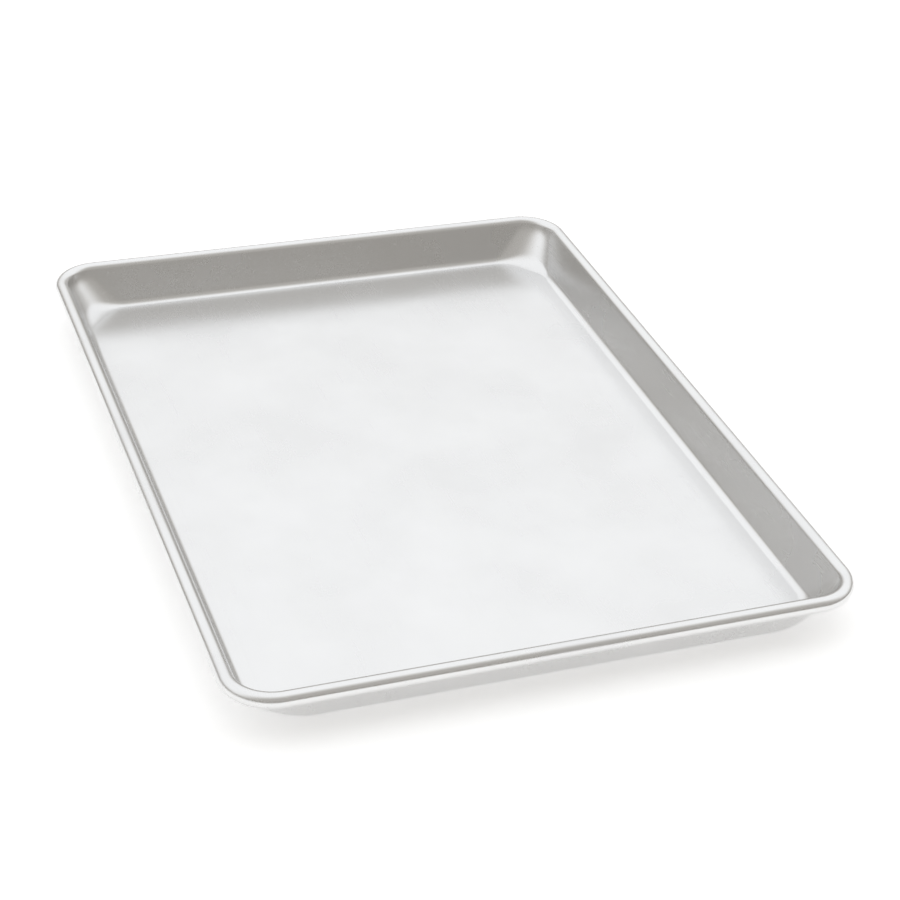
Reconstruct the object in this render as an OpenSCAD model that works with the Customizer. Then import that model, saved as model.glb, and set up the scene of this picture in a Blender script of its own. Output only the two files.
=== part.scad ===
// Jelly roll pan: one sheet of aluminium drawn to a shallow tray, its edge
// rolled outward over a steel wire that stiffens the rim.
// Origin at the centre of the underside, the length along Y, up along Z.

/* [Overall] */
// Length of the pan over the rolled rim
pan_length = 454; // [250:1:660]
// Width of the pan over the rolled rim
pan_width = 328; // [180:1:480]
// Height from the table to the top of the rim
pan_height = 26.8; // [20:0.2:60]
// Corner radius at the outer edge of the rim, seen from above
corner_radius = 28; // [26:0.5:70]

/* [Sheet] */
// Thickness of the aluminium sheet
sheet_thickness = 1; // [0.6:0.05:1.6]
// Lean of the walls away from upright, in degrees
wall_flare = 18; // [6:1:22]
// Radius of the bend between floor and wall, on the inside
floor_bend_radius = 4.8; // [2:0.2:7]

/* [Rim] */
// Diameter of the rolled rim, over the sheet
bead_diameter = 8.1; // [6.5:0.1:9.5]
// Slit between the raw edge of the roll and the wall
curl_slit = 0.3; // [0.2:0.05:0.8]

/* [Wire] */
// Play between the wire and the sheet rolled over it, all round
wire_play = 0.1; // [0.05:0.05:0.4]
// Gap between the butted ends of the wire
wire_joint = 0.6; // [0.2:0.1:3]

/* [Which piece] */
// Piece to draw

/* [Hidden] */

// Facets of the bends and of the rim's corners
bend_facets = 40;
corner_facets = 56;

bead_radius = bead_diameter / 2;
curl_bore = bead_radius - sheet_thickness;
wire_radius = curl_bore - wire_play;

// The section of wall and rim is drawn with the axis of the corners at x = 0,
// the outside of the pan towards +x and the table at y = 0.
bead_x = corner_radius - bead_radius;
bead_y = pan_height - bead_radius;

// Unit vectors in that section: down the wall, and out of its inner face
wall_down = [-sin(wall_flare), -cos(wall_flare)];
wall_in = [-cos(wall_flare), sin(wall_flare)];

// Where the inner face of the wall leaves the rim and where it meets the bend
wall_top = [bead_x, bead_y] + bead_radius * wall_in;
bend_y = sheet_thickness + floor_bend_radius;
wall_foot_y = bend_y - floor_bend_radius * sin(wall_flare);
wall_run = (wall_top[1] - wall_foot_y) / cos(wall_flare);
wall_foot = wall_top + wall_run * wall_down;
bend_x = wall_foot[0] + floor_bend_radius * wall_in[0];

// Turn of the roll that stays open between its raw edge and the wall
curl_open = acos((curl_bore - curl_slit) / bead_radius);

// Straight runs of the sides between the corner axes
run_x = pan_width - 2 * corner_radius;
run_y = pan_length - 2 * corner_radius;

// Slice of a disc between two angles, reaching past radius r
module slice(r, from, to) {
    mid = (from + to) / 2;
    far = 2 * r;
    polygon([[0, 0],
             far * [cos(from), sin(from)],
             far * [cos(mid), sin(mid)],
             far * [cos(to), sin(to)]]);
}

// Sheet rolled over the wire, open towards the wall below
module curl_section() {
    translate([bead_x, bead_y])
        difference() {
            rotate(-wall_flare) circle(r = bead_radius, $fn = bend_facets);
            rotate(-wall_flare) circle(r = curl_bore, $fn = bend_facets);
            slice(bead_radius, 180 - wall_flare, 180 - wall_flare + curl_open);
        }
}

// Straight flared wall between the roll and the bend
module wall_section() {
    polygon([wall_top,
             wall_foot,
             wall_foot - sheet_thickness * wall_in,
             wall_top - sheet_thickness * wall_in]);
}

// Bend from the wall into the floor
module bend_section() {
    translate([bend_x, bend_y])
        intersection() {
            difference() {
                circle(r = bend_y, $fn = bend_facets);
                circle(r = floor_bend_radius, $fn = bend_facets);
            }
            slice(bend_y, -90, -wall_flare);
        }
}

// Whole section of the sheet from the corner axis out to the rim
module sheet_section() {
    square([bend_x, sheet_thickness]);
    bend_section();
    wall_section();
    curl_section();
}

// Carries a section drawn in x and y along the four sides and round the four
// corners of the pan
module around_pan() {
    for (side = [-1, 1]) {
        translate([side * run_x / 2, 0, 0]) rotate(side > 0 ? 0 : 180)
            translate([0, run_y / 2, 0]) rotate([90, 0, 0])
                linear_extrude(run_y) children();
        translate([0, side * run_y / 2, 0]) rotate(side > 0 ? 90 : -90)
            translate([0, run_x / 2, 0]) rotate([90, 0, 0])
                linear_extrude(run_x) children();
        for (end = [-1, 1])
            translate([side * run_x / 2, end * run_y / 2, 0])
                rotate(end > 0 ? (side > 0 ? 0 : 90) : (side > 0 ? 270 : 180))
                    rotate_extrude(angle = 90, $fn = corner_facets) children();
    }
}

// Drawn sheet: flat floor, flared walls and rolled rim in one
module pan_shell() {
    color([0.80, 0.81, 0.82]) {
        translate([-run_x / 2, -run_y / 2, 0]) cube([run_x, run_y, sheet_thickness]);
        around_pan() sheet_section();
    }
}

// Wire inside the rolled rim, its ends butted midway along one long side
module rim_wire() {
    color([0.62, 0.64, 0.66])
        difference() {
            around_pan()
                translate([bead_x, bead_y]) circle(r = wire_radius, $fn = 24);
            translate([pan_width / 2 - bead_radius, 0, bead_y])
                cube([bead_diameter, wire_joint, bead_diameter], center = true);
        }
}

pan_shell();
rim_wire();
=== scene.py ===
"""A jelly roll pan of natural aluminium, dressed for rendering.

The pan is one drawn sheet whose edge is rolled over a steel wire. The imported
frame gives its size; this script carries a fine section of the sheet round the
pan, gives both pieces their finish, and sets floor, light and camera.
"""
import logging
import math
from dataclasses import dataclass, field
from enum import Enum

import bpy
import numpy as np
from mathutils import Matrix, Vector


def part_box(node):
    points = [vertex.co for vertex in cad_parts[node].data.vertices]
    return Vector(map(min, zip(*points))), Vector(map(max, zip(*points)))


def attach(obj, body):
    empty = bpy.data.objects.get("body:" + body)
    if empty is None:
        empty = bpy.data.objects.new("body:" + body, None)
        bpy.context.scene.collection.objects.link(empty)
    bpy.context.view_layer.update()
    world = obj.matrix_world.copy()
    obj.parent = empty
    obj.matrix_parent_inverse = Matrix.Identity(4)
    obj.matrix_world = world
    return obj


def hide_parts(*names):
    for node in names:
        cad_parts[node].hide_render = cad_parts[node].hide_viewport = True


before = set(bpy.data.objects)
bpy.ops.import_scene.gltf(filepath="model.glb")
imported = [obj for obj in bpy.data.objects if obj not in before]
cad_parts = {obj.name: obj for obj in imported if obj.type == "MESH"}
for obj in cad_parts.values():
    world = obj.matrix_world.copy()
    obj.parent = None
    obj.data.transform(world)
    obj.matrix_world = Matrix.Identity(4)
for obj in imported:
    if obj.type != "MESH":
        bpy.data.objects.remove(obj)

LOG = logging.getLogger("jelly_roll_pan")
MM = 0.001
QUARTER = math.pi / 2
SENSOR_WIDTH = 36
# Sockets of the Mix node when it mixes colours.
MIX_FACTOR, MIX_FIRST, MIX_SECOND, MIX_RESULT = 0, 6, 7, 2


class Slot(Enum):
    """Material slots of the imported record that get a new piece."""

    SHEET = "natural_aluminium"


def linear_rgb(hex_colour: str) -> tuple[float, float, float, float]:
    """Turns an sRGB hex colour into linear light.

    A channel up to 0.04045 is divided by 12.92; a brighter one gets 0.055
    added, is divided by 1.055 and raised to the power 2.4.

    Args:
        hex_colour: six hex digits, such as "D9DADB".

    Returns:
        Red, green, blue and alpha, linear, each from 0 to 1.
    """
    srgb = np.array([int(hex_colour[i:i + 2], 16) for i in (0, 2, 4)]) / 255
    linear = np.where(srgb <= 0.04045, srgb / 12.92, ((srgb + 0.055) / 1.055) ** 2.4)
    return (*linear.tolist(), 1.0)


def add_node(tree: bpy.types.NodeTree, kind: str, links: dict | None = None,
             inputs: dict | None = None, **settings: object) -> bpy.types.Node:
    """Adds one node with its settings, socket values and incoming links.

    Args:
        tree: the node tree that gets the node.
        kind: the node's type, such as "ShaderNodeBump".
        links: input socket name or index to the output socket that feeds it.
        inputs: input socket name or index to a plain value.
        settings: attributes of the node itself.

    Returns:
        The new node.
    """
    node = tree.nodes.new(kind)
    for name, value in settings.items():
        setattr(node, name, value)
    for name, value in (inputs or {}).items():
        node.inputs[name].default_value = value
    for name, source in (links or {}).items():
        tree.links.new(source, node.inputs[name])
    return node


def empty_tree(owner: bpy.types.Material | bpy.types.World) -> bpy.types.NodeTree:
    """Switches a material or world to nodes and clears them.

    Args:
        owner: the material or world.

    Returns:
        Its node tree, empty.
    """
    owner.use_nodes = True
    owner.node_tree.nodes.clear()
    return owner.node_tree


def linked_object(name: str, data: bpy.types.Mesh | bpy.types.Camera) -> bpy.types.Object:
    """Puts a mesh or camera into the scene, at the origin.

    Args:
        name: name of the object.
        data: its mesh or camera data.

    Returns:
        The new object.
    """
    made = bpy.data.objects.new(name, data)
    bpy.context.scene.collection.objects.link(made)
    return made


def closed_piece(name: str, points: np.ndarray, faces: list[list[int]]) -> bpy.types.Object:
    """Makes a smooth closed mesh object whose faces point outwards.

    The signed volume, a sixth of the sum of a . (b x c) over the triangles of
    each face, tells whether the faces have to be turned.

    Args:
        name: name of the piece.
        points: vertices, one row each, in metres.
        faces: lists of vertex numbers.

    Returns:
        The object, at the origin.
    """
    mesh = bpy.data.meshes.new(name)
    mesh.from_pydata(points.tolist(), [], faces)
    mesh.update()
    corner = np.empty(len(mesh.loop_triangles) * 3, dtype=np.int32)
    mesh.loop_triangles.foreach_get("vertices", corner)
    a, b, c = points[corner.reshape(-1, 3)].transpose(1, 0, 2)
    if np.einsum("ij,ij->", a, np.cross(b, c)) < 0:
        mesh.flip_normals()
    mesh.polygons.foreach_set("use_smooth", np.ones(len(mesh.polygons), dtype=bool))
    mesh.update()
    return linked_object(name, mesh)


@dataclass(frozen=True)
class MillFinishAluminium:
    """Uncoated aluminium sheet, cold rolled and then drawn.

    To the eye it is a pale, even grey with a satin gloss: broad reflections
    with soft edges, faint rolling lines along the length of the sheet, a
    cloudy haze from handling, and hairline rubs askew to the lines.
    """

    bright: str = "EAEAEA"
    dull: str = "E1E1E1"
    roughness: tuple[float, float] = (0.20, 0.30)
    haze: float = 70 * MM
    haze_range: tuple[float, float] = (0.3, 0.7)
    # Real rolling lines are finer than a tenth of this and would not show.
    rolling_line: float = 0.45 * MM
    rolling_run: float = 60 * MM
    line_depth: float = 0.0035 * MM
    rub: float = 1.6 * MM
    rub_heading: float = math.radians(37)
    rub_range: tuple[float, float] = (0.58, 0.78)
    rub_roughness: float = 0.05
    waviness: float = 38 * MM
    wave_depth: float = 0.05 * MM

    def build(self) -> bpy.types.Material:
        """Builds the material from patterns in the piece's own coordinates.

        Returns:
            The material.
        """
        material = bpy.data.materials.new("natural_aluminium_cold_rolled")
        tree = empty_tree(material)
        place = add_node(tree, "ShaderNodeTexCoord").outputs["Object"]
        haze = add_node(tree, "ShaderNodeTexNoise", {"Vector": place},
                        {"Scale": 1 / self.haze, "Detail": 4.0, "Roughness": 0.55})
        along = add_node(tree, "ShaderNodeMapping", {"Vector": place},
                         {"Scale": (1 / self.rolling_line, 1 / self.rolling_run,
                                    1 / self.rolling_line)})
        lines = add_node(tree, "ShaderNodeTexNoise", {"Vector": along.outputs[0]},
                         {"Scale": 1.0, "Detail": 2.0, "Roughness": 0.6})
        askew = add_node(tree, "ShaderNodeMapping", {"Vector": place},
                         {"Rotation": (0.0, 0.0, self.rub_heading),
                          "Scale": (1 / self.rub, 1 / self.rolling_run, 1 / self.rub)})
        rubs = add_node(tree, "ShaderNodeTexNoise", {"Vector": askew.outputs[0]},
                        {"Scale": 1.0, "Detail": 3.0, "Roughness": 0.7})
        worn = add_node(tree, "ShaderNodeMapRange", {"Value": rubs.outputs["Fac"]},
                        {"From Min": self.rub_range[0], "From Max": self.rub_range[1]})
        colour = add_node(tree, "ShaderNodeMix", {MIX_FACTOR: haze.outputs["Fac"]},
                          {MIX_FIRST: linear_rgb(self.bright),
                           MIX_SECOND: linear_rgb(self.dull)}, data_type="RGBA")
        soft = add_node(tree, "ShaderNodeMapRange", {"Value": haze.outputs["Fac"]},
                        {"From Min": self.haze_range[0], "From Max": self.haze_range[1],
                         "To Min": self.roughness[0], "To Max": self.roughness[1]})
        rough = add_node(tree, "ShaderNodeMath", {0: worn.outputs[0], 2: soft.outputs[0]},
                         {1: self.rub_roughness}, operation="MULTIPLY_ADD")
        wave = add_node(tree, "ShaderNodeTexNoise", {"Vector": place},
                        {"Scale": 1 / self.waviness, "Detail": 1.0})
        wavy = add_node(tree, "ShaderNodeBump", {"Height": wave.outputs["Fac"]},
                        {"Strength": 1.0, "Distance": self.wave_depth})
        lined = add_node(tree, "ShaderNodeBump",
                         {"Height": lines.outputs["Fac"], "Normal": wavy.outputs[0]},
                         {"Strength": 1.0, "Distance": self.line_depth})
        shader = add_node(tree, "ShaderNodeBsdfPrincipled",
                          {"Base Color": colour.outputs[MIX_RESULT],
                           "Roughness": rough.outputs[0], "Normal": lined.outputs[0]},
                          {"Metallic": 1.0})
        add_node(tree, "ShaderNodeOutputMaterial", {"Surface": shader.outputs[0]})
        return material


@dataclass(frozen=True)
class GalvanisedWire:
    """Steel wire, drawn and hot dipped in zinc.

    To the eye it is a dull blue grey, with the patchy crystals of the zinc.
    """

    pale: str = "B4B8BB"
    dark: str = "8F9498"
    crystal: float = 2.2 * MM
    roughness: float = 0.42

    def build(self) -> bpy.types.Material:
        """Builds the material with zinc crystals of their real size.

        Returns:
            The material.
        """
        material = bpy.data.materials.new("galvanised_steel_drawn_wire")
        tree = empty_tree(material)
        place = add_node(tree, "ShaderNodeTexCoord").outputs["Object"]
        zinc = add_node(tree, "ShaderNodeTexVoronoi", {"Vector": place},
                        {"Scale": 1 / self.crystal})
        grey = add_node(tree, "ShaderNodeSeparateColor", {"Color": zinc.outputs["Color"]})
        colour = add_node(tree, "ShaderNodeMix", {MIX_FACTOR: grey.outputs[0]},
                          {MIX_FIRST: linear_rgb(self.pale),
                           MIX_SECOND: linear_rgb(self.dark)}, data_type="RGBA")
        shader = add_node(tree, "ShaderNodeBsdfPrincipled",
                          {"Base Color": colour.outputs[MIX_RESULT]},
                          {"Metallic": 1.0, "Roughness": self.roughness})
        add_node(tree, "ShaderNodeOutputMaterial", {"Surface": shader.outputs[0]})
        return material


@dataclass(frozen=True)
class SheetSection:
    """Section of the sheet from the floor out to the rolled rim.

    Every point has an inset, measured inwards from the outer edge of the rim,
    a height above the table, and a share of the corners' extra roundness,
    which is 0 in the rim and grows to 1 at the floor.
    """

    height: float
    sheet: float = 1.0 * MM
    flare: float = math.radians(18)
    bead: float = 8.1 * MM
    slit: float = 0.3 * MM
    bend: float = 4.8 * MM
    corner_bend: float = 9.5 * MM
    floor_margin: float = 5 * MM
    easing: float = 5 * MM
    bend_points: int = 15
    wall_points: int = 10
    roll_points: int = 52
    # The cut edge of the roll: depth in the sheet and bulge, in thicknesses.
    lip_depth: tuple[float, ...] = (0.12, 0.5, 0.88)
    lip_bulge: tuple[float, ...] = (0.10, 0.13, 0.10)

    def roundness(self, z: np.ndarray) -> np.ndarray:
        """Share of the extra roundness at a height.

        It runs along a parabola for the first stretch below the rim, and then
        straight on: q^2 / 2e for q < e, else q - e / 2, over its own end value.

        Args:
            z: heights of section points.

        Returns:
            The share, 0 at the foot of the rim and 1 at the floor.
        """
        start = self.height - self.bead / 2
        drop = np.clip(start - z, 0, start)
        run = np.where(drop < self.easing, drop ** 2 / (2 * self.easing), drop - self.easing / 2)
        return run / (start - self.easing / 2)

    def points(self, corner: np.ndarray) -> tuple[np.ndarray, np.ndarray, np.ndarray]:
        """Works out the section at every station of the pan's outline.

        The roll is the circle c + r (cos a, sin a); the wall is its tangent at
        the flare; the bend is the circle tangent to wall and floor, with a
        radius that grows from the straight sides to the middle of a corner.

        Args:
            corner: 0 on a straight side to 1 in the middle of a corner, one
                value for each station.

        Returns:
            Inset, height and roundness, each stations by section points.
        """
        lean, t, r = self.flare, self.sheet, self.bead / 2
        bore = r - t
        ones = np.ones_like(corner[:, None])
        bend = self.bend + (self.corner_bend - self.bend) * corner[:, None]

        def on_roll(radius: np.ndarray, angle: np.ndarray) -> tuple[np.ndarray, np.ndarray]:
            """Places points round the roll's axis, the same at every station.

            Args:
                radius: distances from the axis.
                angle: angles, 0 pointing into the pan.

            Returns:
                Insets and heights.
            """
            return (r + radius * np.cos(angle) * ones,
                    self.height - r + radius * np.sin(angle) * ones)

        def between(high: tuple[np.ndarray, ...], low: tuple[np.ndarray, ...],
                    step: np.ndarray) -> tuple[np.ndarray, ...]:
            """Spaces points evenly on the straight line from one to another.

            Args:
                high: inset and height of the first end.
                low: inset and height of the second end.
                step: shares of the way from the first end.

            Returns:
                Insets and heights.
            """
            return tuple(first + (second - first) * step for first, second in zip(high, low))

        top = tuple(value[:, :1] for value in on_roll(r, np.array([[lean]])))
        sharp = top[0] + (top[1] - t) * math.tan(lean)
        floor = sharp + bend * math.tan((QUARTER - lean) / 2)
        swing = np.linspace(0, QUARTER - lean, self.bend_points)[None, :]
        inner_bend = (floor - bend * np.sin(swing), t + bend * (1 - np.cos(swing)))
        outer_bend = (floor - (bend + t) * np.sin(swing), (bend + t) * (1 - np.cos(swing)))
        step = np.linspace(0, 1, self.wall_points + 2)[None, 1:-1]
        foot = tuple(value[:, -1:] for value in inner_bend)
        heel = tuple(value[:, -1:] for value in outer_bend)
        last = 2 * math.pi + lean - math.acos((bore - self.slit) / r)
        turn = np.linspace(lean, last, self.roll_points)[None, :]
        lip_radius = r - np.array(self.lip_depth)[None, :] * t
        lip_angle = last + np.array(self.lip_bulge)[None, :] * t / r
        rolled = (on_roll(r, turn), on_roll(lip_radius, lip_angle), on_roll(bore, turn[:, ::-1]))
        ring = floor + self.floor_margin
        parts = ((ring, t * ones), inner_bend, between(foot, top, step), *rolled,
                 between(on_roll(bore, np.array([[lean]])), heel, step),
                 tuple(value[:, ::-1] for value in outer_bend), (ring, 0 * ones))
        inset, level = (np.hstack(values) for values in zip(*parts))
        share = self.roundness(level)
        before = sum(s.shape[1] for s, _ in parts[:3])
        share[:, before:before + sum(s.shape[1] for s, _ in rolled)] = 0
        return inset, level, share


@dataclass
class PanShell:
    """The drawn sheet: floor, flared walls and rolled rim in one piece."""

    width: float
    length: float
    height: float
    finish: MillFinishAluminium = field(default_factory=MillFinishAluminium)
    rim_corner: float = 26.5 * MM
    extra_roundness: float = 19 * MM
    corner_steps: int = 28
    side_steps: int = 26

    def stations(self) -> tuple[np.ndarray, ...]:
        """Lays the stations round the pan, each corner with the side after it.

        Returns:
            Heading of the outward normal, place along the side from 1 to -1,
            corner weight sin^2(2 f) for the turn f into the corner, and the
            number of the corner, counted from the one at +X and +Y.
        """
        quarter = np.linspace(0, QUARTER, self.corner_steps + 1)
        side = np.linspace(1, -1, self.side_steps + 1)[1:-1]
        heading, along, weight, number = [], [], [], []
        for index in range(4):
            heading += [index * QUARTER + quarter, np.full(side.shape, (index + 1) * QUARTER)]
            along += [np.ones_like(quarter), side]
            weight += [np.sin(2 * quarter) ** 2, np.zeros_like(side)]
            number.append(np.full(quarter.size + side.size, index))
        return tuple(np.concatenate(part) for part in (heading, along, weight, number))

    def surface(self) -> np.ndarray:
        """Carries the section round the pan.

        A point of inset s lies on a rounded rectangle of half sides a - s and
        b - s and corner radius q = R - s + E e, so it is at the corner's centre
        plus q (cos h, sin h); along a side it runs between the two centres.

        Returns:
            Points, stations by section points by 3.
        """
        heading, along, weight, number = self.stations()
        inset, level, share = SheetSection(self.height).points(weight)
        radius = self.rim_corner - inset + self.extra_roundness * share
        sign_x = np.array([1, -1, -1, 1])[number]
        sign_y = np.array([1, 1, -1, -1])[number]
        # The sides after corners 0 and 2 run across the pan, the others along it.
        across = number % 2 == 0
        slide_x = (sign_x * np.where(across, along, 1))[:, None]
        slide_y = (sign_y * np.where(across, 1, along))[:, None]
        x = slide_x * (self.width / 2 - inset - radius) + radius * np.cos(heading)[:, None]
        y = slide_y * (self.length / 2 - inset - radius) + radius * np.sin(heading)[:, None]
        return np.stack([x, y, level], axis=-1)

    def build(self) -> bpy.types.Object:
        """Builds the sheet as one closed mesh and gives it its finish.

        Returns:
            The sheet.
        """
        grid = self.surface()
        index = np.arange(grid.shape[0] * grid.shape[1]).reshape(grid.shape[:2])
        ahead = np.roll(index, -1, axis=0)
        quads = np.stack([index[:, :-1], ahead[:, :-1], ahead[:, 1:], index[:, 1:]], axis=-1)
        faces = quads.reshape(-1, 4).tolist() + [index[:, 0][::-1].tolist(), index[:, -1].tolist()]
        shell = closed_piece("pan_shell_sheet", grid.reshape(-1, 3), faces)
        shell.data.materials.append(self.finish.build())
        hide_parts("pan_shell")
        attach(shell, "root")
        return shell


@dataclass
class RimWire:
    """The wire in the rolled rim, in the shape that the frame holds."""

    finish: GalvanisedWire = field(default_factory=GalvanisedWire)

    def build(self) -> bpy.types.Object:
        """Gives the frame's own wire its zinc.

        Returns:
            The wire.
        """
        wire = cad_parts["rim_wire"]
        wire.data.materials.clear()
        wire.data.materials.append(self.finish.build())
        return wire


@dataclass
class Studio:
    """Pale floor, sky of soft light and the camera."""

    floor_radius: float = 14.0
    floor_corners: int = 96
    floor_height: float = -0.002 * MM
    floor_colour: str = "F4F4F4"
    floor_lift: float = 0.36
    sky_low: tuple[str, float] = ("FFFAF2", 0.36)
    sky_high: tuple[str, float] = ("FDFEFF", 1.14)
    rise_range: tuple[float, float] = (0.10, 0.48)
    depth_range: tuple[float, float] = (-0.65, 0.05)
    front_share: float = 0.2
    camera_place: tuple[float, float, float] = (-0.35691, -1.02294, 0.66434)
    camera_turn: tuple[float, float, float] = (58.924, -3.375, -20.569)
    lens: float = 90.64
    shift: tuple[float, float] = (-0.092, -0.0107)

    def paper(self) -> bpy.types.Material:
        """Builds white matt paper that looks white and keeps the shadow.

        What camera, glossy and transmission rays see of it is lifted a little;
        the light that it casts on the pan is that of plain paper.

        Returns:
            The material.
        """
        material = bpy.data.materials.new("white_paper_sweep")
        tree = empty_tree(material)
        ray = add_node(tree, "ShaderNodeLightPath")
        seen = add_node(tree, "ShaderNodeMath",
                        {0: ray.outputs["Is Camera Ray"], 1: ray.outputs["Is Glossy Ray"]},
                        operation="MAXIMUM")
        shown = add_node(tree, "ShaderNodeMath",
                         {0: seen.outputs[0], 1: ray.outputs["Is Transmission Ray"]},
                         operation="MAXIMUM")
        lift = add_node(tree, "ShaderNodeMath", {0: shown.outputs[0]}, {1: self.floor_lift},
                        operation="MULTIPLY")
        paper = add_node(tree, "ShaderNodeBsdfDiffuse",
                         inputs={"Color": linear_rgb(self.floor_colour)})
        white = add_node(tree, "ShaderNodeEmission", {"Strength": lift.outputs[0]})
        both = add_node(tree, "ShaderNodeAddShader", {0: paper.outputs[0], 1: white.outputs[0]})
        add_node(tree, "ShaderNodeOutputMaterial", {"Surface": both.outputs[0]})
        return material

    def floor(self) -> None:
        """Lays the round floor just under the pan."""
        turn = np.linspace(0, 2 * math.pi, self.floor_corners, endpoint=False)
        edge = np.stack([self.floor_radius * np.cos(turn), self.floor_radius * np.sin(turn),
                         np.full_like(turn, self.floor_height)], axis=-1)
        mesh = bpy.data.meshes.new("floor")
        mesh.from_pydata(edge.tolist(), [], [list(range(self.floor_corners))])
        mesh.materials.append(self.paper())
        floor = linked_object("floor", mesh)

    def sky(self) -> None:
        """Lights the pan with a pale sky that is darker low down and in front.

        The share of the bright sky is a smooth step of the sine of the
        elevation, times a smooth step that falls towards the camera's side.
        """
        world = bpy.data.worlds.new("studio_sky")
        bpy.context.scene.world = world
        tree = empty_tree(world)
        heading = add_node(tree, "ShaderNodeTexCoord").outputs["Generated"]
        axes = add_node(tree, "ShaderNodeSeparateXYZ", {"Vector": heading})
        rise = add_node(tree, "ShaderNodeMapRange", {"Value": axes.outputs["Z"]},
                        {"From Min": self.rise_range[0], "From Max": self.rise_range[1]},
                        interpolation_type="SMOOTHSTEP")
        behind = add_node(tree, "ShaderNodeMapRange", {"Value": axes.outputs["Y"]},
                          {"From Min": self.depth_range[0], "From Max": self.depth_range[1],
                           "To Min": self.front_share},
                          interpolation_type="SMOOTHSTEP")
        share = add_node(tree, "ShaderNodeMath", {0: rise.outputs[0], 1: behind.outputs[0]},
                         operation="MULTIPLY")
        strength = add_node(tree, "ShaderNodeMapRange", {"Value": share.outputs[0]},
                            {"To Min": self.sky_low[1], "To Max": self.sky_high[1]})
        tint = add_node(tree, "ShaderNodeMix", {MIX_FACTOR: share.outputs[0]},
                        {MIX_FIRST: linear_rgb(self.sky_low[0]),
                         MIX_SECOND: linear_rgb(self.sky_high[0])}, data_type="RGBA")
        background = add_node(tree, "ShaderNodeBackground",
                              {"Strength": strength.outputs[0],
                               "Color": tint.outputs[MIX_RESULT]})
        add_node(tree, "ShaderNodeOutputWorld", {"Surface": background.outputs[0]})

    def camera(self) -> None:
        """Stands the camera where the photograph was taken from."""
        data = bpy.data.cameras.new("camera")
        data.lens = self.lens
        data.sensor_width = SENSOR_WIDTH
        data.shift_x, data.shift_y = self.shift
        data.dof.use_dof = False
        camera = linked_object("camera", data)
        camera.location = self.camera_place
        camera.rotation_euler = [math.radians(angle) for angle in self.camera_turn]
        bpy.context.scene.camera = camera

    def build(self) -> None:
        """Sets floor, sky, camera and the plain view transform."""
        self.floor()
        self.sky()
        self.camera()
        bpy.context.scene.view_settings.view_transform = "Standard"


def main() -> None:
    """Builds the pan's two pieces and the studio, and reports each piece."""
    logging.basicConfig(level=logging.INFO, format="%(name)s: %(message)s")
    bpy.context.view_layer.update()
    low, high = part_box("pan_shell")
    size = high - low
    for maker in (PanShell(size.x, size.y, size.z), RimWire()):
        piece = maker.build()
        LOG.info("%s: %d vertices", piece.name, len(piece.data.vertices))
    Studio().build()


if __name__ == "__main__":
    main()
